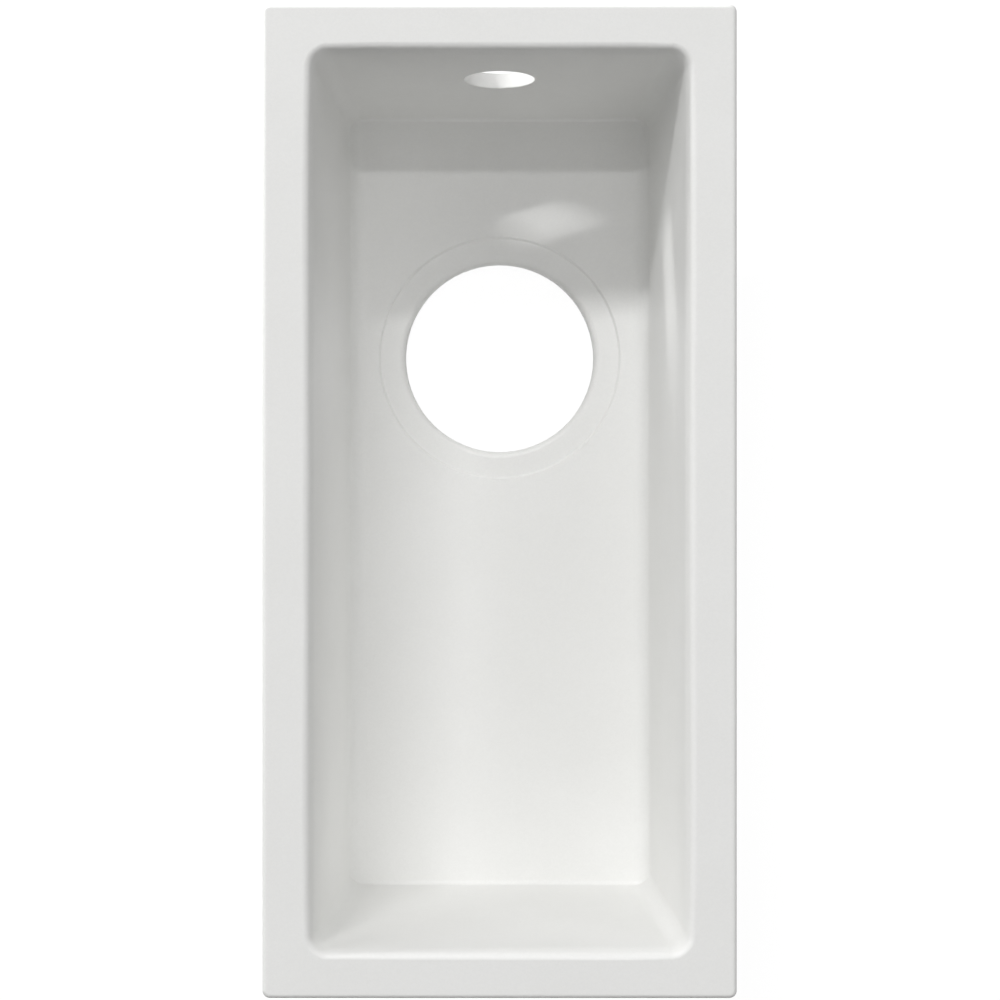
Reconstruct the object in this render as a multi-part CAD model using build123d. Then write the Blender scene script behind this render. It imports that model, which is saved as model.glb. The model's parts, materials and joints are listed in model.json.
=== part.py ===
from build123d import *
import os
from math import cos, radians, sqrt, tan

# A narrow inset kitchen sink, cast in stone composite, with its sealing strips and under-rim fixings.
# Millimetres. X runs across the sink, +Y points to the overflow wall, +Z is up.
# The origin is the middle of the flat base.

# Driving dimensions: the rim and the mouth
outer_width = 210.0
outer_length = 440.0
outer_corner_radius = 3.3
side_rim_width = 21.8
end_rim_width = 20.75
rim_thickness = 10.0
rim_top_round = 2.0
rim_lower_round = 0.8
mouth_corner_radius = 7.5
lip_flare_width = 1.3
lip_flare_drop = 5.2
lip_round = 3.1
lip_blend_round = 20.0

# Driving dimensions: the bowl
bowl_depth = 130.0
floor_thickness = 10.0
floor_fall = 3.0
side_cove = 8.0
end_cove = 2.0
wall_thickness = 7.5
side_draft = 4.8
end_draft = 5.5
base_round = 9.0

# Driving dimensions: the waste hole and the overflow hole
drain_offset = 70.0
drain_radius = 46.0
drain_edge_round = 3.0
recess_radius = 59.0
recess_depth = 0.9
recess_flare = 0.9
overflow_drop = 53.0
overflow_radius = 16.1
overflow_edge_round = 0.5
overflow_seat_radius = 24.0
overflow_seat_depth = 0.4

# Driving dimensions: the sealing strips
seal_inset = 1.0
seal_setback = 1.0
seal_thickness = 3.0
cutout_clearance = 0.8

# Driving dimensions: the fixings
fixing_end_inset = 70.0
lug_length = 18.0
lug_wall = 2.0
insert_radius = 3.0
insert_length = 9.0
insert_groove_width = 1.6
insert_groove_depth = 0.4
insert_clearance = 0.05
screw_radius = 2.0
screw_length = 35.0
screw_engagement = 4.0
screw_tip_chamfer = 0.5
head_radius = 3.5
head_height = 4.0
head_round = 0.5
socket_across_flats = 3.0
socket_depth = 2.0
thread_clearance = 0.05
loose_clearance = 0.3
lift_travel = 10.0
tip_room = 1.5
washer_radius = 4.0
washer_thickness = 1.0
clip_thickness = 2.0
clip_width = 8.0
clip_reach = 32.0
clip_bend_radius = 1.0
claw_width = 6.0
claw_height = 6.0
claw_notch = 2.0

# Levels and outlines that follow from the driving dimensions
rim_top = floor_thickness + bowl_depth
rim_underside = rim_top - rim_thickness
side_slope = tan(radians(side_draft))
end_slope = tan(radians(end_draft))
wall_through = wall_thickness * cos(radians(end_draft))
mouth_width = outer_width - 2 * side_rim_width
mouth_length = outer_length - 2 * end_rim_width
shell_width = mouth_width + 2 * wall_thickness
shell_length = mouth_length + 2 * wall_thickness
cut_margin = 2.0
cove_overlap = 0.06
overflow_height = rim_top - overflow_drop

# Where each fixing stands: its clip and washer just clear the wall at the top of their travel
lug_radius = insert_radius + lug_wall
lug_bottom = rim_underside - lug_length
screw_tip = lug_bottom + screw_engagement
washer_bottom = screw_tip - screw_length
clip_bottom = washer_bottom + washer_thickness
clip_top = clip_bottom + clip_thickness
clip_highest = clip_top + lift_travel
shell_half_at_clip = shell_width / 2 - (rim_top - clip_highest) * side_slope
screw_x = shell_half_at_clip + loose_clearance + max(clip_width / 2, washer_radius)
sides = {"left": -1, "right": 1}
end_row = outer_length / 2 - fixing_end_inset
fixing_rows = {"front": -end_row, "middle": 0.0, "back": end_row}

# How far the rim laps over the worktop round its cut-out, and the strip of foam that fits there
rim_overlap = outer_width / 2 - (screw_x + lug_radius + cutout_clearance)
seal_width = rim_overlap - seal_inset - seal_setback

os.makedirs("parts", exist_ok=True)


def write(node, shape):
    """Save one piece under its node name."""
    export_step(shape, f"parts/{node}.step")


def block_between(width, length, corner, low, high):
    """A drafted block whose outline is width by length at the rim's top."""
    outlines = []
    for level in (low, high):
        rise = level - rim_top
        outline = RectangleRounded(width + 2 * rise * side_slope, length + 2 * rise * end_slope, corner)
        outlines.append(Pos(0, 0, level) * outline)
    return loft(outlines, ruled=True)


def floor_trough(low, high):
    """A trough just larger than the bowl, coved at its foot, with a floor that dishes to the waste hole."""
    outlines = []
    for level in (low, high):
        drop = rim_top - level
        width = mouth_width + 2 * cove_overlap - 2 * drop * side_slope
        length = mouth_length + 2 * cove_overlap - 2 * drop * end_slope
        outlines.append(Pos(0, 0, level) * Rectangle(width, length))
    floor_reach = drain_offset + mouth_length / 2 - bowl_depth * end_slope
    dish_radius = floor_reach ** 2 / (2 * floor_fall)
    dish = Pos(0, drain_offset, floor_thickness + dish_radius) * Rot(90, 0, 0) * Sphere(dish_radius)
    trough = loft(outlines, ruled=True) & dish
    floor_face = trough.faces().sort_by(Axis.Z)[0]
    long_edges = floor_face.edges().sort_by(SortBy.LENGTH)[-2:]
    trough = fillet(long_edges, side_cove)
    floor_face = trough.faces().sort_by(Axis.Z)[0]
    end_edges = floor_face.edges().sort_by(Axis.Y)
    return fillet([end_edges[0], end_edges[-1]], end_cove)


def bowl_hollow():
    """The space inside the bowl, with round upright corners and a coved foot."""
    low = floor_thickness - cut_margin
    high = rim_top + cut_margin
    block = block_between(mouth_width, mouth_length, mouth_corner_radius, low, high)
    return block & floor_trough(low, high)


def lug_block(x, y):
    """One moulded lug: a round boss joined to the wall by a web."""
    inward = -1 if x > 0 else 1
    boss = Cylinder(lug_radius, lug_length, align=(Align.CENTER, Align.CENTER, Align.MIN))
    web = Pos(inward * lug_radius / 2, 0, 0) * Box(
        lug_radius, 2 * lug_radius, lug_length, align=(Align.CENTER, Align.CENTER, Align.MIN))
    return Pos(x, y, lug_bottom) * (boss + web)


def lug_hole(x, y):
    """The stepped blind hole for an insert and the end of its screw."""
    seat = Cylinder(insert_radius + insert_clearance, insert_length,
                    align=(Align.CENTER, Align.CENTER, Align.MIN))
    relief_length = screw_engagement + lift_travel + tip_room
    relief = Cylinder(screw_radius + loose_clearance, relief_length,
                      align=(Align.CENTER, Align.CENTER, Align.MIN))
    return Pos(x, y, lug_bottom) * (seat + relief)


def fixing_places():
    """Name and place of each fixing."""
    for side, sign in sides.items():
        for row, y in fixing_rows.items():
            yield f"{side}_{row}", sign, sign * screw_x, y


def drain_cutter():
    """The waste hole, its rounded edge and the shallow flared recess round it, as one turned shape."""
    recess_floor = floor_thickness - recess_depth
    recess_top = floor_thickness + recess_depth
    round_start = recess_floor - drain_edge_round
    round_middle = drain_edge_round * (1 - sqrt(0.5))
    with BuildPart() as cutter:
        with BuildSketch(Plane.XZ):
            with BuildLine():
                Polyline((0, recess_top), (0, -cut_margin), (drain_radius, -cut_margin),
                         (drain_radius, round_start))
                ThreePointArc((drain_radius, round_start),
                              (drain_radius + round_middle, recess_floor - round_middle),
                              (drain_radius + drain_edge_round, recess_floor))
                Polyline((drain_radius + drain_edge_round, recess_floor),
                         (recess_radius - recess_flare, recess_floor),
                         (recess_radius + recess_flare, recess_top), (0, recess_top))
            make_face()
        revolve(axis=Axis.Z)
    return Pos(0, drain_offset, 0) * cutter.part


def shape_lip(casting):
    """The mouth's edge: a tight round at the top that eases into the wall below."""
    top = casting.faces().sort_by(Axis.Z)[-1]
    casting = chamfer(top.inner_wires()[0].edges(), lip_flare_width, lip_flare_drop, reference=top)
    flare_foot = rim_top - lip_flare_drop
    foot = casting.edges().filter_by(
        lambda edge: abs(edge.center().Z - flare_foot) < 0.1 and abs(edge.center().X) < mouth_width / 2)
    casting = fillet(foot, lip_blend_round)
    top = casting.faces().sort_by(Axis.Z)[-1]
    return fillet(top.inner_wires()[0].edges(), lip_round)


def make_bowl():
    """The whole casting."""
    shell = block_between(shell_width, shell_length, mouth_corner_radius + wall_thickness, 0, rim_top)
    base_face = shell.faces().sort_by(Axis.Z)[0]
    shell = fillet(base_face.edges(), base_round)

    rim = extrude(RectangleRounded(outer_width, outer_length, outer_corner_radius), rim_thickness)
    rim = Pos(0, 0, rim_underside) * rim
    rim = fillet(rim.faces().sort_by(Axis.Z)[-1].edges(), rim_top_round)
    rim = fillet(rim.faces().sort_by(Axis.Z)[0].edges(), rim_lower_round)

    casting = shell + rim
    for _, _, x, y in fixing_places():
        casting += lug_block(x, y)
    casting -= bowl_hollow()
    for _, _, x, y in fixing_places():
        casting -= lug_hole(x, y)

    casting = shape_lip(casting)

    casting -= drain_cutter()
    inner_centre = (0, mouth_length / 2 - overflow_drop * end_slope, overflow_height)
    square_to_wall = Pos(*inner_centre) * Rot(90 - end_draft, 0, 0)
    casting -= square_to_wall * Cylinder(overflow_radius, 8 * wall_thickness)
    seat = Cylinder(overflow_seat_radius, 4 * wall_thickness, align=(Align.CENTER, Align.CENTER, Align.MAX))
    casting -= square_to_wall * Pos(0, 0, overflow_seat_depth - wall_through) * seat
    inner_edge = casting.edges().sort_by_distance(inner_centre)[0]
    return fillet(inner_edge, overflow_edge_round)


def make_insert(x, y):
    """A threaded brass insert, flush with the bottom of its lug."""
    insert = Cylinder(insert_radius, insert_length, align=(Align.CENTER, Align.CENTER, Align.MIN))
    groove = Cylinder(insert_radius + cut_margin, insert_groove_width) - Cylinder(
        insert_radius - insert_groove_depth, insert_groove_width)
    insert -= Pos(0, 0, insert_length / 2) * groove
    insert -= Cylinder(screw_radius + thread_clearance, 3 * insert_length)
    return Pos(x, y, lug_bottom) * insert


def make_screw(x, y):
    """A socket-head screw that hangs head down from its insert."""
    shank = Cylinder(screw_radius, screw_length, align=(Align.CENTER, Align.CENTER, Align.MIN))
    shank = chamfer(shank.edges().sort_by(Axis.Z)[-1], screw_tip_chamfer)
    head = Cylinder(head_radius, head_height, align=(Align.CENTER, Align.CENTER, Align.MAX))
    head = fillet(head.edges().group_by(Axis.Z)[0], head_round)
    socket = extrude(RegularPolygon(socket_across_flats / 2, 6, major_radius=False), socket_depth)
    head -= Pos(0, 0, -head_height) * socket
    return Pos(x, y, washer_bottom) * (shank + head)


def make_washer(x, y):
    """A flat washer that rests on the screw's head."""
    washer = Cylinder(washer_radius, washer_thickness, align=(Align.CENTER, Align.CENTER, Align.MIN))
    washer -= Cylinder(screw_radius + loose_clearance, 3 * washer_thickness)
    return Pos(x, y, washer_bottom) * washer


def make_clip(x, y, sign):
    """A bent steel clip, stowed along the wall, with a notched claw at its end."""
    arm = Cylinder(clip_width / 2, clip_thickness, align=(Align.CENTER, Align.CENTER, Align.MIN))
    arm += Box(clip_width, clip_reach, clip_thickness, align=(Align.CENTER, Align.MAX, Align.MIN))
    claw_total = clip_thickness + claw_height
    claw = Pos(0, -clip_reach, 0) * Box(
        claw_width, clip_thickness, claw_total, align=(Align.CENTER, Align.MIN, Align.MIN))
    clip = arm + claw
    inner_y = clip_thickness - clip_reach
    inner_bend = clip.edges().filter_by(Axis.X).filter_by(
        lambda edge: abs(edge.center().Y - inner_y) < 0.01 and abs(edge.center().Z - clip_thickness) < 0.01)
    clip = fillet(inner_bend, clip_bend_radius)
    outer_bend = clip.edges().filter_by(Axis.X).filter_by(
        lambda edge: abs(edge.center().Y + clip_reach) < 0.01 and abs(edge.center().Z) < 0.01)
    clip = fillet(outer_bend, clip_bend_radius + clip_thickness / 2)
    notch = Pos(0, -clip_reach, claw_total) * Rot(0, 45, 0) * Box(claw_notch, 4 * clip_thickness, claw_notch)
    clip -= notch
    clip -= Cylinder(screw_radius + loose_clearance, 3 * clip_thickness)
    turn = 0 if sign > 0 else 180
    return Pos(x, y, clip_bottom) * Rot(0, 0, turn) * clip


def make_seals():
    """Four lengths of foam strip under the rim, butted at the corners."""
    half_x = outer_width / 2 - seal_inset - seal_width / 2
    half_y = outer_length / 2 - seal_inset - seal_width / 2
    long_strip = Box(seal_width, 2 * half_y + seal_width, seal_thickness,
                     align=(Align.CENTER, Align.CENTER, Align.MAX))
    short_strip = Box(2 * half_x - seal_width, seal_width, seal_thickness,
                      align=(Align.CENTER, Align.CENTER, Align.MAX))
    write("seal_left", Pos(-half_x, 0, rim_underside) * long_strip)
    write("seal_right", Pos(half_x, 0, rim_underside) * long_strip)
    write("seal_front", Pos(0, -half_y, rim_underside) * short_strip)
    write("seal_back", Pos(0, half_y, rim_underside) * short_strip)


write("bowl", make_bowl())
make_seals()
for name, sign, x, y in fixing_places():
    write(f"insert_{name}", make_insert(x, y))
    write(f"screw_{name}", make_screw(x, y))
    write(f"washer_{name}", make_washer(x, y))
    write(f"clip_{name}", make_clip(x, y, sign))
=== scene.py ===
"""Finishes, fixings and studio for a narrow stone-composite sink bowl, laid out as an add-on."""

import json
import math

import bmesh
import bpy
from bpy.props import FloatProperty, FloatVectorProperty, IntProperty, PointerProperty
from mathutils import Matrix, Quaternion, Vector


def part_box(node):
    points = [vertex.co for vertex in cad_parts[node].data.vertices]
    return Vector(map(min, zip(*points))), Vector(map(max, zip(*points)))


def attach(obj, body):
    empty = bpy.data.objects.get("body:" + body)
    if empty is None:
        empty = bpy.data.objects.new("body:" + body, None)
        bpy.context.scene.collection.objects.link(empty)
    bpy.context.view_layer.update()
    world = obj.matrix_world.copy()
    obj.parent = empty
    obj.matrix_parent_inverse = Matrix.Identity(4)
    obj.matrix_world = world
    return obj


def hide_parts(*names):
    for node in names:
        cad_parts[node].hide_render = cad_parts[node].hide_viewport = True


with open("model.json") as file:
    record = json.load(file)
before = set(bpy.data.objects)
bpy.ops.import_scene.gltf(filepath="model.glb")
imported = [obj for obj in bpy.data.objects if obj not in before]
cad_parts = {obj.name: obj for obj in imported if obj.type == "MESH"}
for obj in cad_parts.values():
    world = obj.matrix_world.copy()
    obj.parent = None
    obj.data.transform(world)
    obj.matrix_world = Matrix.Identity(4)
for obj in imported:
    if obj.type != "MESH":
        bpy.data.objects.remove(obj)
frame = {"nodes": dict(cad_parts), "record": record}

bl_info = {
    "name": "Stone sink bowl",
    "version": (1, 0, 0),
    "blender": (4, 5, 0),
    "location": "3D View > Sidebar > Sink",
    "description": "Dresses a packed sink bowl and its under-rim fixings, and sets a studio round them",
    "category": "Object",
}

MM = 0.001
ORIGIN = Vector((0.0, 0.0, 0.0))
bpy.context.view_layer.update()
NODES = frame["nodes"]
FIXINGS = [f"{side}_{row}" for side in ("left", "right") for row in ("front", "middle", "back")]
STRIPS = ("seal_left", "seal_right", "seal_front", "seal_back")
RIM_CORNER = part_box("bowl")[1]
MOUNTS = {mount["name"]: Vector(mount["pos_m"]) for mount in frame["record"]["mounts"]}
OVERFLOW = MOUNTS["overflow_hole"]
WASTE = MOUNTS["waste_hole"]

# Where the casting's unfinished back begins, under the rim
SIDE_OVERHANG = 14.3 * MM
END_OVERHANG = 13.25 * MM
SIDE_LEAN = math.radians(4.8)
END_LEAN = math.radians(5.5)
WALL_CORNER = 15.0 * MM
WALL_SKIN = 0.6 * MM
RIM_DEPTH = 9.0 * MM
UNDERSIDE_LEVEL = 8.9 * MM
WASTE_CLEAR = 50.0 * MM

# Places across a clip where its bead is drawn, as shares of the half width
BEAD_SHARES = (0.5, 0.34, 0.17, 0.0, -0.17, -0.34, -0.5)


class BowlFinish(bpy.types.PropertyGroup):
    """How the cast stone looks."""

    face_colour: FloatVectorProperty(
        name="Face colour", description="Colour of the finished inner face and rim",
        subtype="COLOR", default=(0.900, 0.900, 0.886))
    cloud_colour: FloatVectorProperty(
        name="Cloud colour", description="Second tone of the faint clouding in the resin",
        subtype="COLOR", default=(0.886, 0.886, 0.871))
    back_colour: FloatVectorProperty(
        name="Back colour", description="Colour of the unfinished outside",
        subtype="COLOR", default=(0.730, 0.730, 0.715))
    grain_size: FloatProperty(
        name="Grain size", description="Width of one quartz grain",
        unit="LENGTH", default=0.7 * MM)
    grain_relief: FloatProperty(
        name="Grain relief", description="Height of the grain on the finished face",
        unit="LENGTH", default=0.02 * MM)
    face_roughness: FloatProperty(
        name="Face roughness", description="Roughness of the finished face", default=0.42)
    back_roughness: FloatProperty(
        name="Back roughness", description="Roughness of the outside", default=0.72)
    gloss: FloatProperty(
        name="Gloss", description="Strength of the stone's reflections", default=0.42)


class FixingShape(bpy.types.PropertyGroup):
    """Sizes that the fixings and the foam strips show close to."""

    screw_radius: FloatProperty(
        name="Screw radius", description="Radius of a screw over its thread", unit="LENGTH", default=2.0 * MM)
    screw_clearance: FloatProperty(
        name="Screw clearance", description="Room round a screw in its washer and its clip",
        unit="LENGTH", default=0.3 * MM)
    thread_pitch: FloatProperty(
        name="Thread pitch", description="Rise of the thread in one turn", unit="LENGTH", default=0.7 * MM)
    thread_depth: FloatProperty(
        name="Thread depth", description="Height of the thread's ridge", unit="LENGTH", default=0.40 * MM)
    thread_sides: IntProperty(
        name="Thread sides", description="Flats in one turn of the thread", default=28)
    knurl_count: IntProperty(
        name="Knurls", description="Ridges round a screw's head", default=36)
    knurl_depth: FloatProperty(
        name="Knurl depth", description="Height of a ridge on a screw's head",
        unit="LENGTH", default=0.12 * MM)
    sheet_thickness: FloatProperty(
        name="Clip sheet", description="Thickness of the clips' steel", unit="LENGTH", default=2.0 * MM)
    sheet_edge: FloatProperty(
        name="Clip edge", description="Rounding of the clips' sheared edges",
        unit="LENGTH", default=0.35 * MM)
    clip_bend: FloatProperty(
        name="Clip bend", description="Inner radius of the bend below a clip's claw",
        unit="LENGTH", default=1.0 * MM)
    claw_width: FloatProperty(
        name="Claw width", description="Width of a clip at its claw", unit="LENGTH", default=6.0 * MM)
    claw_notch: FloatProperty(
        name="Claw notch", description="Side of the square notch in a clip's claw",
        unit="LENGTH", default=2.0 * MM)
    bead_height: FloatProperty(
        name="Clip bead", description="Height of the stiffening bead pressed into a clip",
        unit="LENGTH", default=0.6 * MM)
    foam_round: FloatProperty(
        name="Foam edge", description="Rounding of the foam strips' lower edges",
        unit="LENGTH", default=0.9 * MM)
    foam_wander: FloatProperty(
        name="Foam wander", description="How far a strip's sides wander from straight",
        unit="LENGTH", default=0.22 * MM)


class FixingFinish(bpy.types.PropertyGroup):
    """How the foam and the metals look."""

    foam_dark: FloatVectorProperty(
        name="Foam dark", description="Darker tone of the foam",
        subtype="COLOR", default=(0.040, 0.041, 0.044))
    foam_light: FloatVectorProperty(
        name="Foam light", description="Lighter tone of the foam",
        subtype="COLOR", default=(0.075, 0.076, 0.080))
    brass_light: FloatVectorProperty(
        name="Brass light", description="Bright tone of the inserts",
        subtype="COLOR", default=(0.80, 0.62, 0.30))
    brass_dark: FloatVectorProperty(
        name="Brass dark", description="Dull tone of the inserts",
        subtype="COLOR", default=(0.62, 0.45, 0.19))
    brass_roughness: FloatProperty(
        name="Brass roughness", description="Roughness of the inserts", default=0.30)
    screw_light: FloatVectorProperty(
        name="Screw light", description="Bright tone of the screws",
        subtype="COLOR", default=(0.66, 0.66, 0.65))
    screw_dark: FloatVectorProperty(
        name="Screw dark", description="Dull tone of the screws",
        subtype="COLOR", default=(0.50, 0.50, 0.49))
    screw_roughness: FloatProperty(
        name="Screw roughness", description="Roughness of the screws", default=0.27)
    washer_light: FloatVectorProperty(
        name="Washer light", description="Bright tone of the washers",
        subtype="COLOR", default=(0.70, 0.70, 0.69))
    washer_dark: FloatVectorProperty(
        name="Washer dark", description="Dull tone of the washers",
        subtype="COLOR", default=(0.54, 0.54, 0.53))
    washer_roughness: FloatProperty(
        name="Washer roughness", description="Roughness of the washers", default=0.30)
    zinc_light: FloatVectorProperty(
        name="Zinc light", description="Bright tone of the clips",
        subtype="COLOR", default=(0.62, 0.635, 0.65))
    zinc_dark: FloatVectorProperty(
        name="Zinc dark", description="Dull tone of the clips",
        subtype="COLOR", default=(0.45, 0.46, 0.475))
    zinc_roughness: FloatProperty(
        name="Zinc roughness", description="Roughness of the clips", default=0.36)


class StudioSet(bpy.types.PropertyGroup):
    """The camera, the lights and the floor."""

    camera_rise: FloatProperty(
        name="Camera rise", description="Height of the camera over the rim", unit="LENGTH", default=1.23)
    frame_width: FloatProperty(
        name="Frame width", description="Width of the picture where it meets the rim",
        unit="LENGTH", default=0.4421)
    aim: FloatVectorProperty(
        name="Aim", description="Where the camera looks on the rim, across and along",
        size=2, unit="LENGTH", default=(0.18 * MM, 0.5 * MM))
    key_turn: FloatProperty(
        name="Key turn", description="How far left of straight behind the key strip's middle stands",
        subtype="ANGLE", default=math.radians(21.2))
    key_rise: FloatProperty(
        name="Key rise", description="Height of the key strip over the horizon",
        subtype="ANGLE", default=math.radians(48.8))
    key_sweep: FloatProperty(
        name="Key sweep", description="Apparent length of the key strip",
        subtype="ANGLE", default=math.radians(28.0))
    key_band: FloatProperty(
        name="Key band", description="Apparent height of the key strip",
        subtype="ANGLE", default=math.radians(1.2))
    key_tilt: FloatProperty(
        name="Key tilt", description="How far the key strip's left end is tipped down",
        subtype="ANGLE", default=math.radians(4.0))
    key_distance: FloatProperty(
        name="Key distance", description="How far away the key strip stands", unit="LENGTH", default=14.0)
    key_strength: FloatProperty(
        name="Key strength", description="Light from the key strip on a surface that faces it", default=1.305)
    low_turn: FloatProperty(
        name="Low turn", description="How far left of straight behind the overflow hole the low strip stands",
        subtype="ANGLE", default=math.radians(39.5))
    low_rise: FloatProperty(
        name="Low rise", description="Height of the low strip over the overflow hole",
        subtype="ANGLE", default=math.radians(1.9))
    low_sweep: FloatProperty(
        name="Low sweep", description="Apparent length of the low strip",
        subtype="ANGLE", default=math.radians(20.0))
    low_band: FloatProperty(
        name="Low band", description="Apparent height of the low strip",
        subtype="ANGLE", default=math.radians(2.0))
    low_tilt: FloatProperty(
        name="Low tilt", description="How far the low strip's left end is tipped up",
        subtype="ANGLE", default=math.radians(30.0))
    low_distance: FloatProperty(
        name="Low distance", description="How far the low strip stands from the overflow hole",
        unit="LENGTH", default=0.8)
    low_strength: FloatProperty(
        name="Low strength", description="Light from the low strip at the overflow hole", default=2.9)
    top_rise: FloatProperty(
        name="Top rise", description="Height of the small light behind over the horizon",
        subtype="ANGLE", default=math.radians(73.0))
    top_spread: FloatProperty(
        name="Top spread", description="Apparent width of the small light behind",
        subtype="ANGLE", default=math.radians(1.5))
    top_strength: FloatProperty(
        name="Top strength", description="Light from the small light behind on a surface that faces it",
        default=0.28)
    soft_spread: FloatProperty(
        name="Soft spread", description="Apparent width of each soft light",
        subtype="ANGLE", default=math.radians(36.0))
    left_turn: FloatProperty(
        name="Left turn", description="How far left of straight behind the soft light on the left stands",
        subtype="ANGLE", default=math.radians(68.0))
    left_rise: FloatProperty(
        name="Left rise", description="Height of the soft light on the left over the horizon",
        subtype="ANGLE", default=math.radians(26.0))
    left_strength: FloatProperty(
        name="Left strength", description="Light from the left on a surface that faces it", default=0.82)
    soft_rise: FloatProperty(
        name="Soft rise", description="Height of the other slanting soft lights over the horizon",
        subtype="ANGLE", default=math.radians(40.0))
    right_strength: FloatProperty(
        name="Right strength", description="Light from the right on a surface that faces it", default=0.26)
    behind_turn: FloatProperty(
        name="Behind turn", description="How far right of straight behind the soft light there stands",
        subtype="ANGLE", default=math.radians(45.0))
    behind_strength: FloatProperty(
        name="Behind strength", description="Soft light from behind on a surface that faces it", default=0.41)
    front_strength: FloatProperty(
        name="Front strength", description="Soft light from the front on a surface that faces it",
        default=0.18)
    over_strength: FloatProperty(
        name="Over strength", description="Soft light from straight above", default=0.20)
    ambient: FloatProperty(
        name="Ambient", description="Strength of the light from all round", default=0.05)
    floor_glow: FloatProperty(
        name="Floor glow", description="How white the floor looks before light falls on it", default=0.93)
    floor_shade: FloatProperty(
        name="Floor shade", description="How much of the light and shadow on the floor shows", default=0.15)
    floor_bounce: FloatProperty(
        name="Floor bounce", description="Share of its light that the floor throws back on the sink",
        default=0.35)


# Node helpers

def fresh_material(name):
    """A node material with its surface shader, ready to wire."""
    material = bpy.data.materials.new(name)
    material.use_nodes = True
    tree = material.node_tree
    shader = tree.nodes["Principled BSDF"]
    return material, tree, shader


def add(tree, kind, **settings):
    """A node of that kind, with its properties set."""
    made = tree.nodes.new(kind)
    for name, value in settings.items():
        setattr(made, name, value)
    return made


def wire(tree, value, socket):
    """Feeds a socket from another socket, or sets it."""
    if isinstance(value, bpy.types.NodeSocket):
        tree.links.new(value, socket)
    else:
        socket.default_value = value


def sums(tree, operation, first, second=0.0, third=0.0):
    """One arithmetic step."""
    made = add(tree, "ShaderNodeMath", operation=operation)
    for value, socket in zip((first, second, third), made.inputs):
        wire(tree, value, socket)
    return made.outputs[0]


def spread(tree, value, low, high, from_low=0.0, from_high=1.0):
    """A value moved from one range to another."""
    made = add(tree, "ShaderNodeMapRange")
    wire(tree, value, made.inputs["Value"])
    made.inputs["From Min"].default_value = from_low
    made.inputs["From Max"].default_value = from_high
    made.inputs["To Min"].default_value = low
    made.inputs["To Max"].default_value = high
    return made.outputs["Result"]


def blend_colours(tree, share, first, second, mode="MIX"):
    """Two colours mixed by a share."""
    made = add(tree, "ShaderNodeMix", data_type="RGBA", blend_type=mode)
    wire(tree, share, made.inputs[0])
    for colour, socket in ((first, made.inputs[6]), (second, made.inputs[7])):
        if not isinstance(colour, bpy.types.NodeSocket):
            colour = (*colour, 1.0)
        wire(tree, colour, socket)
    return made.outputs[2]


def place(tree):
    """The place on the piece, in its own frame."""
    return add(tree, "ShaderNodeTexCoord").outputs["Object"]


def noise(tree, where, per_metre, detail=2.0, roughness=0.5):
    """Soft random noise, with so many features to the metre."""
    made = add(tree, "ShaderNodeTexNoise")
    wire(tree, where, made.inputs["Vector"])
    made.inputs["Scale"].default_value = per_metre
    made.inputs["Detail"].default_value = detail
    made.inputs["Roughness"].default_value = roughness
    return made.outputs["Fac"]


def cells(tree, where, per_metre):
    """A pattern of random cells, so many to the metre."""
    made = add(tree, "ShaderNodeTexVoronoi")
    wire(tree, where, made.inputs["Vector"])
    made.inputs["Scale"].default_value = per_metre
    return made


def relief(tree, shader, height, strength, distance):
    """Bump from a height."""
    made = add(tree, "ShaderNodeBump")
    made.inputs["Strength"].default_value = strength
    made.inputs["Distance"].default_value = distance
    wire(tree, height, made.inputs["Height"])
    wire(tree, made.outputs["Normal"], shader.inputs["Normal"])


# Finishes

def outside_mask(tree, where):
    """One on the back of the casting: the skin of its walls below the rim, and its underside."""
    axes = add(tree, "ShaderNodeSeparateXYZ")
    wire(tree, where, axes.inputs[0])
    depth = sums(tree, "SUBTRACT", RIM_CORNER.z, axes.outputs["Z"])
    past = []
    for axis, reach, overhang, lean in (("X", RIM_CORNER.x, SIDE_OVERHANG, SIDE_LEAN),
                                        ("Y", RIM_CORNER.y, END_OVERHANG, END_LEAN)):
        flat_half = reach - overhang - WALL_CORNER
        limit = sums(tree, "MULTIPLY_ADD", depth, -math.tan(lean), flat_half)
        past.append(sums(tree, "SUBTRACT", sums(tree, "ABSOLUTE", axes.outputs[axis]), limit))
    outer = [sums(tree, "POWER", sums(tree, "MAXIMUM", beyond, 0.0), 2.0) for beyond in past]
    round_part = sums(tree, "SQRT", sums(tree, "ADD", *outer))
    flat_part = sums(tree, "MINIMUM", sums(tree, "MAXIMUM", *past), 0.0)
    wall = sums(tree, "GREATER_THAN", sums(tree, "ADD", round_part, flat_part), WALL_CORNER - WALL_SKIN)
    below_rim = sums(tree, "GREATER_THAN", depth, RIM_DEPTH)
    side = sums(tree, "MULTIPLY", wall, below_rim)
    from_waste = add(tree, "ShaderNodeVectorMath", operation="DISTANCE")
    wire(tree, where, from_waste.inputs[0])
    from_waste.inputs[1].default_value = WASTE
    clear_of_waste = sums(tree, "GREATER_THAN", from_waste.outputs["Value"], WASTE_CLEAR)
    low = sums(tree, "LESS_THAN", axes.outputs["Z"], UNDERSIDE_LEVEL)
    return sums(tree, "MAXIMUM", side, sums(tree, "MULTIPLY", low, clear_of_waste))


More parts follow.
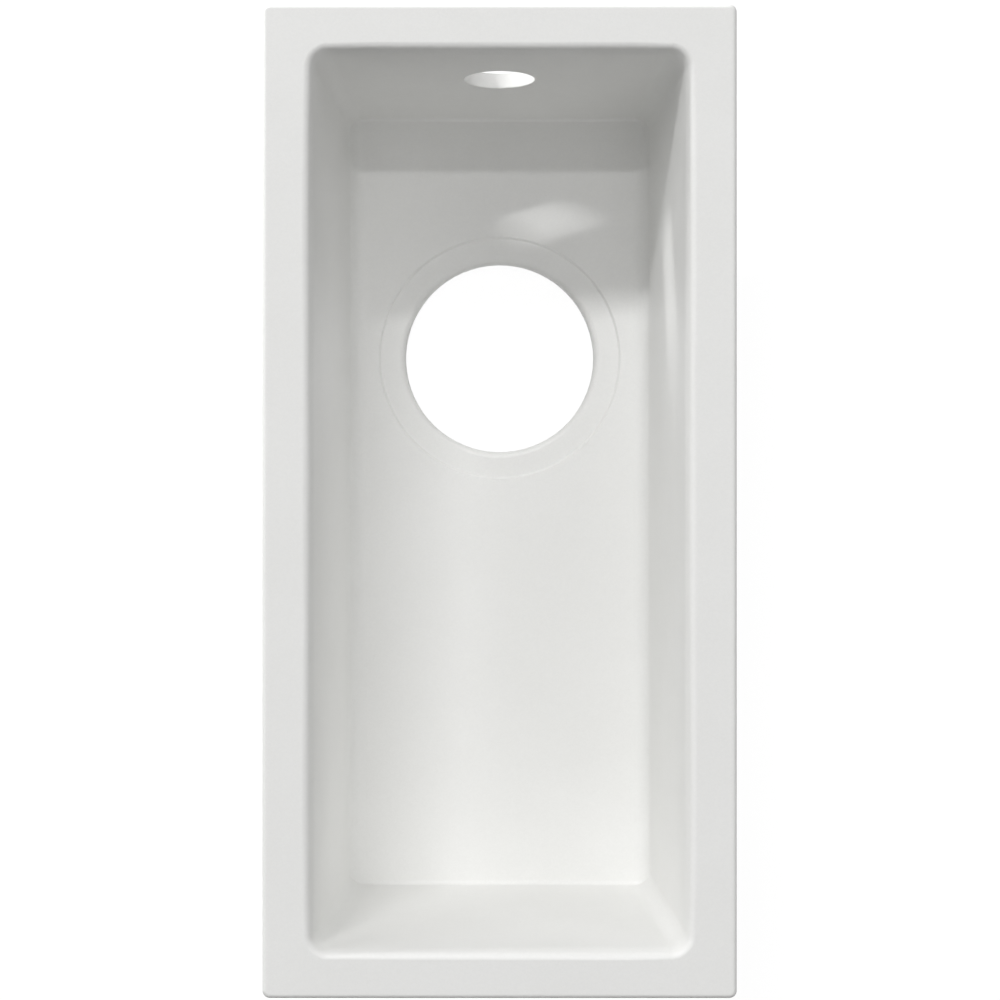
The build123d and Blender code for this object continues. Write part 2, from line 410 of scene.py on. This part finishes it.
def stone_face(tree, where, grains, finish):
    """Colour of the finished side: two close tones in clouds, and a slight tone for each grain."""
    darkest, lightest = 0.985, 1.008
    clouds = noise(tree, where, per_metre=22.0, detail=4.0, roughness=0.55)
    cloud_share = spread(tree, clouds, 0.0, 1.0, from_low=0.35, from_high=0.65)
    clouded = blend_colours(tree, cloud_share, finish.face_colour, finish.cloud_colour)
    shade = add(tree, "ShaderNodeSeparateColor")
    wire(tree, grains.outputs["Color"], shade.inputs[0])
    grain_tone = spread(tree, shade.outputs[0], darkest, lightest)
    tone = add(tree, "ShaderNodeCombineColor")
    for socket in tone.inputs[:3]:
        wire(tree, grain_tone, socket)
    return blend_colours(tree, 1.0, clouded, tone.outputs[0], "MULTIPLY")


def stone_back(tree, where, finish):
    """Colour of the unfinished side: a greyer tone with paler blotches."""
    palest = 0.55
    blotches = noise(tree, where, per_metre=60.0, detail=5.0, roughness=0.6)
    share = spread(tree, blotches, 0.0, palest, from_low=0.35, from_high=0.7)
    return blend_colours(tree, share, finish.back_colour, finish.cloud_colour)


def stone_roughness(tree, where, outside, finish):
    """Roughness of both sides, a little uneven."""
    face_vary, back_vary = 0.05, 0.08
    smear = noise(tree, where, per_metre=90.0, detail=3.0)
    either = add(tree, "ShaderNodeMix", data_type="FLOAT")
    wire(tree, outside, either.inputs[0])
    for middle, vary, socket in ((finish.face_roughness, face_vary, either.inputs[2]),
                                 (finish.back_roughness, back_vary, either.inputs[3])):
        wire(tree, spread(tree, smear, middle - vary, middle + vary), socket)
    return either.outputs[0]


def cast_stone(finish):
    """White quartz and resin: faint clouds, fine grains, a satin face and a rougher back."""
    fine_share = 0.6
    fine_per_grain = 2.2
    pit_depth = 5.0
    material, tree, shader = fresh_material("cast_stone")
    where = place(tree)
    outside = outside_mask(tree, where)
    grains = cells(tree, where, 1.0 / finish.grain_size)
    face = stone_face(tree, where, grains, finish)
    back = stone_back(tree, where, finish)
    wire(tree, blend_colours(tree, outside, face, back), shader.inputs["Base Color"])
    wire(tree, stone_roughness(tree, where, outside, finish), shader.inputs["Roughness"])
    shader.inputs["Specular IOR Level"].default_value = finish.gloss
    fine = noise(tree, where, fine_per_grain / finish.grain_size)
    height = sums(tree, "MULTIPLY_ADD", fine, fine_share, grains.outputs["Distance"])
    pits = sums(tree, "MULTIPLY", noise(tree, where, per_metre=420.0, detail=4.0, roughness=0.65), pit_depth)
    uneven = sums(tree, "MULTIPLY_ADD", pits, outside, height)
    relief(tree, shader, uneven, strength=0.2, distance=finish.grain_relief)
    return material


def closed_foam(finish):
    """Dark closed-cell foam with fine pores."""
    smoothest, roughest = 0.78, 0.95
    material, tree, shader = fresh_material("closed_foam")
    where = place(tree)
    tint = spread(tree, noise(tree, where, per_metre=300.0, detail=3.0), 0.0, 1.0,
                  from_low=0.35, from_high=0.65)
    wire(tree, blend_colours(tree, tint, finish.foam_dark, finish.foam_light), shader.inputs["Base Color"])
    wire(tree, spread(tree, noise(tree, where, per_metre=700.0), smoothest, roughest),
         shader.inputs["Roughness"])
    pores = cells(tree, where, per_metre=2400.0)
    relief(tree, shader, pores.outputs["Distance"], strength=0.6, distance=0.1 * MM)
    return material


def worked_metal(name, light, dark, roughness, streak, marks_per_metre):
    """A metal with fine tool marks, uneven tone and uneven gloss."""
    mark_share = 0.4
    smoother, rougher = 0.07, 0.10
    material, tree, shader = fresh_material(name)
    where = place(tree)
    stretch = add(tree, "ShaderNodeMapping")
    wire(tree, where, stretch.inputs["Vector"])
    stretch.inputs["Scale"].default_value = streak
    marks = noise(tree, stretch.outputs["Vector"], marks_per_metre, detail=3.0, roughness=0.6)
    patches = noise(tree, where, per_metre=160.0, detail=4.0, roughness=0.6)
    wear = sums(tree, "MULTIPLY_ADD", marks, mark_share, patches)
    tone = spread(tree, wear, 0.0, 1.0, from_low=0.4, from_high=1.0)
    wire(tree, blend_colours(tree, tone, light, dark), shader.inputs["Base Color"])
    shader.inputs["Metallic"].default_value = 1.0
    wire(tree, spread(tree, patches, roughness - smoother, roughness + rougher, from_low=0.3, from_high=0.7),
         shader.inputs["Roughness"])
    relief(tree, shader, marks, strength=0.25, distance=0.02 * MM)
    return material


# Mesh helpers

def settle(piece, body, node):
    """Hangs a piece on its body and hides the CAD node that it stands for."""
    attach(piece, body)
    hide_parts(node)


def mesh_piece(name, points, faces, material, body, node):
    """A new mesh that stands for a CAD node and rides on its body."""
    mesh = bpy.data.meshes.new(name)
    mesh.from_pydata(points, [], faces)
    mesh.validate()
    shape = bmesh.new()
    shape.from_mesh(mesh)
    bmesh.ops.recalc_face_normals(shape, faces=shape.faces)
    shape.to_mesh(mesh)
    shape.free()
    piece = bpy.data.objects.new(name, mesh)
    bpy.context.scene.collection.objects.link(piece)
    mesh.materials.append(material)
    settle(piece, body, node)
    return piece


def smooth_by_angle(piece, degrees):
    """Smooth shading that keeps edges sharper than the angle."""
    mesh = piece.data
    mesh.polygons.foreach_set("use_smooth", [True] * len(mesh.polygons))
    mesh.set_sharp_from_angle(angle=math.radians(degrees))


def clamped(value):
    """A value held between nought and one."""
    return min(max(value, 0.0), 1.0)


def ring_of(sizes, level):
    """A ring of points round the upright axis, one for each radius."""
    points = []
    for step, size in enumerate(sizes):
        angle = math.tau * step / len(sizes)
        points.append((size * math.cos(angle), size * math.sin(angle), level))
    return points


def stand(points, x, y, turn=0.0):
    """Points turned about the upright axis and moved to their place."""
    cosine, sine = math.cos(turn), math.sin(turn)
    return [(x + px * cosine - py * sine, y + px * sine + py * cosine, pz) for px, py, pz in points]


def grid_faces(rows, count, joined=False):
    """Quads between rings of count points. The first and last ring are filled, or joined to each other."""
    faces = []
    for row in range(rows if joined else rows - 1):
        near = row * count
        far = (row + 1) % rows * count
        for step in range(count):
            after = (step + 1) % count
            faces.append((near + step, near + after, far + after, far + step))
    if not joined:
        faces.append(tuple(range(count - 1, -1, -1)))
        faces.append(tuple((rows - 1) * count + step for step in range(count)))
    return faces


def turned_size(node):
    """Middle of a turned node across and along, its lowest and highest level, and its radius."""
    low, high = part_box(node)
    return (low.x + high.x) / 2, (low.y + high.y) / 2, low.z, high.z, (high.x - low.x) / 2


# Pieces

class SINK_OT_bowl(bpy.types.Operator):
    """Finish the cast bowl"""

    bl_idname = "sink.bowl"
    bl_label = "Bowl"

    def execute(self, context):
        stone = cast_stone(context.scene.sink_bowl)
        NODES["bowl"].data.materials[0] = stone
        return {"FINISHED"}


class SINK_OT_seals(bpy.types.Operator):
    """Lay the foam strips under the rim"""

    bl_idname = "sink.seals"
    bl_label = "Foam strips"

    def execute(self, context):
        foam = closed_foam(context.scene.sink_finishes)
        for index, node in enumerate(STRIPS):
            self.strip(node, foam, context.scene.sink_fixings, index)
        return {"FINISHED"}

    def strip(self, node, foam, shape, index):
        """One soft strip with rounded lower edges and sides that wander a little."""
        steps = 96
        low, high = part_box(node)
        size = high - low
        along = 1 if size.y > size.x else 0
        across = 1 - along
        middle = (low[across] + high[across]) / 2
        outline = self.outline(size[across] / 2 - shape.foam_wander, size.z, shape.foam_round)
        points = []
        for step in range(steps + 1):
            share = step / steps
            wander = shape.foam_wander * self.wander(share, index)
            for offset, drop in outline:
                point = [0.0, 0.0, high.z + drop]
                point[along] = low[along] + share * size[along]
                point[across] = middle + offset + wander
                points.append(tuple(point))
        faces = grid_faces(steps + 1, len(outline))
        piece = mesh_piece(f"foam_{node}", points, faces, foam, "sink", node)
        smooth_by_angle(piece, degrees=40)

    def outline(self, half, thickness, rounding):
        """Section of a strip, from its upper left corner down and round to its upper right."""
        arc_steps = 6
        left = [(-half, 0.0)]
        for turn in range(arc_steps + 1):
            angle = math.radians(90 * turn / arc_steps)
            left.append((-half + rounding * (1 - math.cos(angle)),
                         -thickness + rounding * (1 - math.sin(angle))))
        return left + [(-offset, drop) for offset, drop in reversed(left)]

    def wander(self, share, index):
        """How far to one side a strip stands at that share of its length, from -1 to 1."""
        slow, fast, shift = 9.0, 23.0, 2.1
        return math.sin(slow * share + shift * index) * math.sin(fast * share + index)


class SINK_OT_inserts(bpy.types.Operator):
    """Finish the threaded inserts"""

    bl_idname = "sink.inserts"
    bl_label = "Inserts"

    def execute(self, context):
        finish = context.scene.sink_finishes
        brass = worked_metal("turned_brass", finish.brass_light, finish.brass_dark, finish.brass_roughness,
                             streak=(1, 1, 12), marks_per_metre=900.0)
        for name in FIXINGS:
            NODES[f"insert_{name}"].data.materials[0] = brass
        return {"FINISHED"}


class SINK_OT_screws(bpy.types.Operator):
    """Cut the screws"""

    bl_idname = "sink.screws"
    bl_label = "Screws"

    def execute(self, context):
        finish = context.scene.sink_finishes
        steel = worked_metal("stainless_screw", finish.screw_light, finish.screw_dark, finish.screw_roughness,
                             streak=(1, 1, 8), marks_per_metre=1200.0)
        for index, name in enumerate(FIXINGS):
            self.screw(name, steel, context.scene.sink_fixings, index)
        return {"FINISHED"}

    def screw(self, name, steel, shape, index):
        """One screw: knurled socket head below, threaded shank above, each turned on from the last one."""
        turn_between = 0.61
        node = f"screw_{name}"
        x, y, low, high, head_radius = turned_size(node)
        shank_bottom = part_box(f"washer_{name}")[0].z
        points, faces = self.head(head_radius, low, shank_bottom, shape)
        shank_points, shank_faces = self.shank(shank_bottom, high, shape)
        start = len(points)
        faces += [tuple(start + corner for corner in face) for face in shank_faces]
        turned = stand(points + shank_points, x, y, turn_between * index)
        piece = mesh_piece(f"threaded_{node}", turned, faces, steel, node, node)
        smooth_by_angle(piece, degrees=35)

    def head(self, radius, low, top, shape):
        """The head: knurled side, rounded lower edge and a hexagon socket."""
        hub = 0.3 * MM
        ease = 0.2 * MM
        edge = 0.5 * MM
        socket_half = 1.5 * MM
        socket_depth = 2.0 * MM
        mouth_flare = 1.12
        mouth_depth = 0.15 * MM
        cone_depth = 0.4 * MM
        cone_tip = 0.1
        sector = math.tau / 6
        groove = (0, 0.5, 1, 0.5)
        count = len(groove) * shape.knurl_count
        knurled = []
        hexagon = []
        for step in range(count):
            knurled.append(radius - shape.knurl_depth * groove[step % len(groove)])
            hexagon.append(socket_half / math.cos(math.tau * step / count % sector - sector / 2))
        rings = [
            ring_of([hub] * count, top),
            ring_of([radius - ease] * count, top),
            ring_of(knurled, top - ease),
            ring_of(knurled, low + edge + ease),
        ]
        for share in (0.0, 0.5, 1.0):
            angle = share * math.pi / 2
            size = radius - shape.knurl_depth - edge * (1 - math.cos(angle))
            rings.append(ring_of([size] * count, low + edge * (1 - math.sin(angle))))
        rings += [
            ring_of([mouth_flare * size for size in hexagon], low),
            ring_of(hexagon, low + mouth_depth),
            ring_of(hexagon, low + socket_depth),
            ring_of([cone_tip * size for size in hexagon], low + socket_depth + cone_depth),
        ]
        return [point for ring in rings for point in ring], grid_faces(len(rings), count)

    def shank(self, low, high, shape):
        """The threaded shank: rings whose radius rises and falls with the helix, run out to a blunt tip."""
        fit = 0.02 * MM
        tip_length = 0.6 * MM
        tip_drop = 0.2 * MM
        rows_per_turn = 8
        crest_reach, root_reach = 0.15, 0.40
        sides = shape.thread_sides
        pitch = shape.thread_pitch
        crest = shape.screw_radius - fit
        root = crest - shape.thread_depth
        tip = root - tip_drop
        rows = math.ceil((high - low) / pitch * rows_per_turn) + 1
        points = []
        for row in range(rows):
            level = low + (high - low) * row / (rows - 1)
            limit = tip + clamped((high - level) / tip_length) * (crest - tip)
            sizes = []
            for step in range(sides):
                phase = ((level - low) / pitch - step / sides) % 1.0
                ridge = clamped((root_reach - abs(phase - 0.5)) / (root_reach - crest_reach))
                sizes.append(min(root + shape.thread_depth * ridge, limit))
            points += ring_of(sizes, level)
        return points, grid_faces(rows, sides)


class SINK_OT_washers(bpy.types.Operator):
    """Turn the washers"""

    bl_idname = "sink.washers"
    bl_label = "Washers"

    def execute(self, context):
        finish = context.scene.sink_finishes
        steel = worked_metal("stainless_washer", finish.washer_light, finish.washer_dark,
                             finish.washer_roughness, streak=(6, 1, 1), marks_per_metre=900.0)
        for name in FIXINGS:
            self.washer(name, steel, context.scene.sink_fixings)
        return {"FINISHED"}

    def washer(self, name, steel, shape):
        """One flat washer with eased edges."""
        ease = 0.18 * MM
        count = 56
        node = f"washer_{name}"
        x, y, low, high, outer = turned_size(node)
        inner = shape.screw_radius + shape.screw_clearance
        section = [(inner, low + ease), (inner + ease, low), (outer - ease, low), (outer, low + ease),
                   (outer, high - ease), (outer - ease, high), (inner + ease, high), (inner, high - ease)]
        points = []
        for size, level in section:
            points += stand(ring_of([size] * count, level), x, y)
        faces = grid_faces(len(section), count, joined=True)
        piece = mesh_piece(f"eased_{node}", points, faces, steel, f"lift_{name}", node)
        smooth_by_angle(piece, degrees=30)


class SINK_OT_clips(bpy.types.Operator):
    """Press and bend the clips"""

    bl_idname = "sink.clips"
    bl_label = "Clips"

    def execute(self, context):
        finish = context.scene.sink_finishes
        zinc = worked_metal("zinc_plate", finish.zinc_light, finish.zinc_dark, finish.zinc_roughness,
                            streak=(1, 3, 1), marks_per_metre=500.0)
        for name in FIXINGS:
            self.clip(name, zinc, context.scene.sink_fixings)
        return {"FINISHED"}

    def clip(self, name, zinc, shape):
        """One clip, bent up from a strip: round end at the screw, bead along the arm, claw at the tip."""
        end_half = 0.35 * MM
        taper_start, taper_length = 0.62, 0.12
        node = f"clip_{name}"
        low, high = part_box(node)
        x, y, *_ = turned_size(f"screw_{name}")
        facing = 1 if name.startswith("right") else -1
        half = (high.x - low.x) / 2
        reach = (high.y - low.y) - half
        sheet = shape.sheet_thickness
        path = self.path(half, reach, high.z - low.z, sheet, shape.clip_bend + sheet / 2)
        points = []
        for along, level, lean, share in path:
            width = half
            if along > 0:
                width = math.sqrt(max(half ** 2 - along ** 2, end_half ** 2))
            taper = clamped((share - taper_start) / taper_length)
            width = min(width, half + (shape.claw_width / 2 - half) * taper)
            bead = shape.bead_height * self.bead_share(along, reach)
            for across, up in self.section(width, sheet, shape.sheet_edge, bead):
                points.append((x + facing * across,
                               y + facing * (along - up * math.sin(lean)),
                               low.z + level + up * math.cos(lean)))
        faces = grid_faces(len(path), len(points) // len(path))
        piece = mesh_piece(f"bent_{node}", points, faces, zinc, node, node)
        self.cut(piece, Vector((x, y, low.z)), Vector((x, y - facing * reach, high.z)), shape)
        smooth_by_angle(piece, degrees=32)

    def path(self, half, reach, height, sheet, bend):
        """Middle line of the strip: along, level, lean and share of its points passed."""
        round_steps, arm_steps, bend_steps, claw_steps = 11, 24, 8, 5
        first_angle, last_angle = 4, 90
        middle = sheet / 2
        line = []
        for step in range(round_steps + 1):
            angle = math.radians(first_angle + (last_angle - first_angle) * step / round_steps)
            line.append((half * math.cos(angle), middle, 0.0))
        arm_end = -(reach - middle - bend)
        for step in range(1, arm_steps + 1):
            line.append((arm_end * step / arm_steps, middle, 0.0))
        for step in range(1, bend_steps + 1):
            lean = math.radians(90 * step / bend_steps)
            line.append((arm_end - bend * math.sin(lean), middle + bend * (1 - math.cos(lean)), -lean))
        claw_start = middle + bend
        for step in range(1, claw_steps + 1):
            level = claw_start + (height - claw_start) * step / claw_steps
            line.append((arm_end - bend, level, -math.pi / 2))
        total = len(line) - 1
        return [(*spot, index / total) for index, spot in enumerate(line)]

    def bead_share(self, along, reach):
        """How much of the bead's height shows at that place on the arm."""
        start, end, fade = -0.26 * reach, -0.78 * reach, 0.06 * reach
        share = min(clamped((start - along) / fade), clamped((along - end) / fade))
        return share * share * (3 - 2 * share)

    def section(self, width, sheet, edge, bead):
        """Cross-section of the strip: sheared edges rounded, bead raised in the middle."""
        arc_steps = 3
        largest_edge = 0.45
        edge = min(edge, largest_edge * width)
        ring = []
        for first, side, face in ((0, 1, 1), (90, -1, 1), (180, -1, -1), (270, 1, -1)):
            for turn in range(arc_steps + 1):
                angle = math.radians(first + 90 * turn / arc_steps)
                ring.append((side * (width - edge) + edge * math.cos(angle),
                             face * (sheet / 2 - edge) + edge * math.sin(angle)))
            if side == face:
                for share in BEAD_SHARES:
                    lift = bead * math.cos(math.pi * share) ** 2
                    ring.append((face * share * width, face * sheet / 2 + lift))
        return ring

    def cut(self, piece, hole_place, notch_place, shape):
        """The screw hole and the notch in the claw."""
        through = 10.0 * MM
        radius = shape.screw_radius + shape.screw_clearance
        hole = bmesh.new()
        bmesh.ops.create_cone(hole, cap_ends=True, segments=48, radius1=radius, radius2=radius,
                              depth=2 * through)
        bmesh.ops.translate(hole, verts=hole.verts, vec=hole_place)
        notch = bmesh.new()
        bmesh.ops.create_cube(notch, size=1.0)
        bmesh.ops.scale(notch, verts=notch.verts, vec=(shape.claw_notch, through, shape.claw_notch))
        bmesh.ops.rotate(notch, verts=notch.verts, matrix=Matrix.Rotation(math.radians(45), 3, "Y"))
        bmesh.ops.translate(notch, verts=notch.verts, vec=notch_place)
        for number, tool in enumerate((hole, notch)):
            mesh = bpy.data.meshes.new(f"cutter_{number}")
            tool.to_mesh(mesh)
            tool.free()
            cutter = bpy.data.objects.new(f"cutter_{number}", mesh)
            bpy.context.scene.collection.objects.link(cutter)
            step = piece.modifiers.new("cut", "BOOLEAN")
            step.operation = "DIFFERENCE"
            step.solver = "EXACT"
            step.object = cutter
            graph = bpy.context.evaluated_depsgraph_get()
            result = bpy.data.meshes.new_from_object(piece.evaluated_get(graph))
            piece.modifiers.clear()
            piece.data = result
            bpy.data.objects.remove(cutter)


class SINK_OT_stage(bpy.types.Operator):
    """Set the floor, the lights and the camera"""

    bl_idname = "sink.stage"
    bl_label = "Studio"

    def execute(self, context):
        studio = context.scene.sink_studio
        square = math.radians(90)
        soft = studio.soft_spread
        self.floor(studio)
        self.world(context.scene, studio)
        self.strip("key", ORIGIN, studio.key_turn, studio.key_rise, studio.key_sweep, studio.key_band,
                   -studio.key_tilt, studio.key_distance, studio.key_strength)
        self.strip("low", OVERFLOW, studio.low_turn, studio.low_rise, studio.low_sweep, studio.low_band,
                   studio.low_tilt, studio.low_distance, studio.low_strength)
        self.sun("top", 0.0, studio.top_rise, studio.top_strength, studio.top_spread)
        self.sun("left", studio.left_turn, studio.left_rise, studio.left_strength, soft)
        self.sun("right", -square, studio.soft_rise, studio.right_strength, soft)
        self.sun("behind", -studio.behind_turn, studio.soft_rise, studio.behind_strength, soft)
        self.sun("front", 2 * square, studio.soft_rise, studio.front_strength, soft)
        self.sun("over", 0.0, square, studio.over_strength, soft)
        self.camera(context.scene, studio)
        context.scene.view_settings.view_transform = "Standard"
        return {"FINISHED"}

    def seen(self, tree):
        """One on rays that show the background: from the camera, a gloss or through glass."""
        path = add(tree, "ShaderNodeLightPath")
        shown = sums(tree, "MAXIMUM", path.outputs["Is Camera Ray"], path.outputs["Is Glossy Ray"])
        return sums(tree, "MAXIMUM", shown, path.outputs["Is Transmission Ray"])

    def floor(self, studio):
        """A pale floor that looks white and keeps a faint shadow."""
        half = 6.0
        level = -0.3 * MM
        corners = [(x * half, y * half, level) for x, y in ((-1, -1), (1, -1), (1, 1), (-1, 1))]
        mesh = bpy.data.meshes.new("floor")
        mesh.from_pydata(corners, [], [(0, 1, 2, 3)])
        floor = bpy.data.objects.new("floor", mesh)
        bpy.context.scene.collection.objects.link(floor)
        material = bpy.data.materials.new("pale_floor")
        material.use_nodes = True
        tree = material.node_tree
        tree.nodes.remove(tree.nodes["Principled BSDF"])
        plain = add(tree, "ShaderNodeBsdfDiffuse")
        plain.inputs["Color"].default_value = (studio.floor_bounce,) * 3 + (1,)
        shade = add(tree, "ShaderNodeBsdfDiffuse")
        shade.inputs["Color"].default_value = (studio.floor_shade,) * 3 + (1,)
        glow = add(tree, "ShaderNodeEmission")
        glow.inputs["Strength"].default_value = studio.floor_glow
        white = add(tree, "ShaderNodeAddShader")
        wire(tree, shade.outputs[0], white.inputs[0])
        wire(tree, glow.outputs[0], white.inputs[1])
        mix = add(tree, "ShaderNodeMixShader")
        wire(tree, self.seen(tree), mix.inputs[0])
        wire(tree, plain.outputs[0], mix.inputs[1])
        wire(tree, white.outputs[0], mix.inputs[2])
        wire(tree, mix.outputs[0], tree.nodes["Material Output"].inputs["Surface"])
        mesh.materials.append(material)

    def world(self, scene, studio):
        """Even light from all round, and a white background behind the floor."""
        world = bpy.data.worlds.new("studio")
        scene.world = world
        world.use_nodes = True
        tree = world.node_tree
        soft = tree.nodes["Background"]
        soft.inputs["Color"].default_value = (1, 1, 1, 1)
        soft.inputs["Strength"].default_value = studio.ambient
        white = add(tree, "ShaderNodeBackground")
        white.inputs["Color"].default_value = (1, 1, 1, 1)
        white.inputs["Strength"].default_value = 1.0
        mix = add(tree, "ShaderNodeMixShader")
        wire(tree, self.seen(tree), mix.inputs[0])
        wire(tree, soft.outputs[0], mix.inputs[1])
        wire(tree, white.outputs[0], mix.inputs[2])
        wire(tree, mix.outputs[0], tree.nodes["World Output"].inputs["Surface"])

    def towards(self, turn, rise):
        """The way from the sink to a light that stands left of straight behind it and over the horizon."""
        return Vector((-math.sin(turn) * math.cos(rise), math.cos(turn) * math.cos(rise), math.sin(rise)))

    def hang(self, name, lamp, target, way, distance, tilt=0.0):
        """A lamp that shines back along the way to it, rolled about that way."""
        light = bpy.data.objects.new(name, lamp)
        bpy.context.scene.collection.objects.link(light)
        light.location = target + way * distance
        light.rotation_mode = "QUATERNION"
        light.rotation_quaternion = (-way).to_track_quat("-Z", "Y") @ Quaternion((0, 0, 1), tilt)
        light.visible_camera = False

    def strip(self, name, target, turn, rise, sweep, band, tilt, distance, strength):
        """A long narrow light."""
        lamp = bpy.data.lights.new(name, "AREA")
        lamp.shape = "RECTANGLE"
        lamp.size = 2 * distance * math.cos(rise) * math.tan(sweep / 2)
        lamp.size_y = 2 * distance * math.tan(band / 2)
        lamp.energy = strength * math.pi * distance ** 2
        self.hang(name, lamp, target, self.towards(turn, rise), distance, tilt)

    def sun(self, name, turn, rise, strength, spread_angle):
        """One round light that shines from far away, wherever its lamp hangs."""
        lamp_distance = 2.0
        lamp = bpy.data.lights.new(name, "SUN")
        lamp.energy = strength
        lamp.angle = spread_angle
        self.hang(name, lamp, ORIGIN, self.towards(turn, rise), lamp_distance)

    def camera(self, scene, studio):
        """The camera, straight above the rim."""
        lens = bpy.data.cameras.new("camera")
        lens.sensor_width = 36.0
        lens.lens = lens.sensor_width * studio.camera_rise / studio.frame_width
        lens.clip_end = 50.0
        camera = bpy.data.objects.new("camera", lens)
        scene.collection.objects.link(camera)
        camera.location = (studio.aim[0], studio.aim[1], RIM_CORNER.z + studio.camera_rise)
        scene.camera = camera


class SINK_PT_panel(bpy.types.Panel):
    """The sink's pieces and their settings."""

    bl_label = "Stone sink bowl"
    bl_idname = "SINK_PT_panel"
    bl_space_type = "VIEW_3D"
    bl_region_type = "UI"
    bl_category = "Sink"

    def draw(self, context):
        for operator in PIECES:
            self.layout.operator(operator.bl_idname)
        for setting in GROUPS:
            group = getattr(context.scene, setting)
            box = self.layout.box()
            for name in group.__annotations__:
                box.prop(group, name)


GROUPS = {"sink_bowl": BowlFinish, "sink_fixings": FixingShape, "sink_finishes": FixingFinish,
          "sink_studio": StudioSet}
PIECES = (SINK_OT_bowl, SINK_OT_seals, SINK_OT_inserts, SINK_OT_screws, SINK_OT_washers, SINK_OT_clips,
          SINK_OT_stage)


def register():
    """Adds the classes and their settings."""
    for item in (*GROUPS.values(), *PIECES, SINK_PT_panel):
        bpy.utils.register_class(item)
    for name, group in GROUPS.items():
        setattr(bpy.types.Scene, name, PointerProperty(type=group))


def unregister():
    """Takes the classes and their settings away."""
    for name in GROUPS:
        delattr(bpy.types.Scene, name)
    for item in reversed((*GROUPS.values(), *PIECES, SINK_PT_panel)):
        bpy.utils.unregister_class(item)


def main():
    """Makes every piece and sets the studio."""
    register()
    bpy.ops.sink.bowl()
    bpy.ops.sink.seals()
    bpy.ops.sink.inserts()
    bpy.ops.sink.screws()
    bpy.ops.sink.washers()
    bpy.ops.sink.clips()
    bpy.ops.sink.stage()


if __name__ == "__main__":
    main()
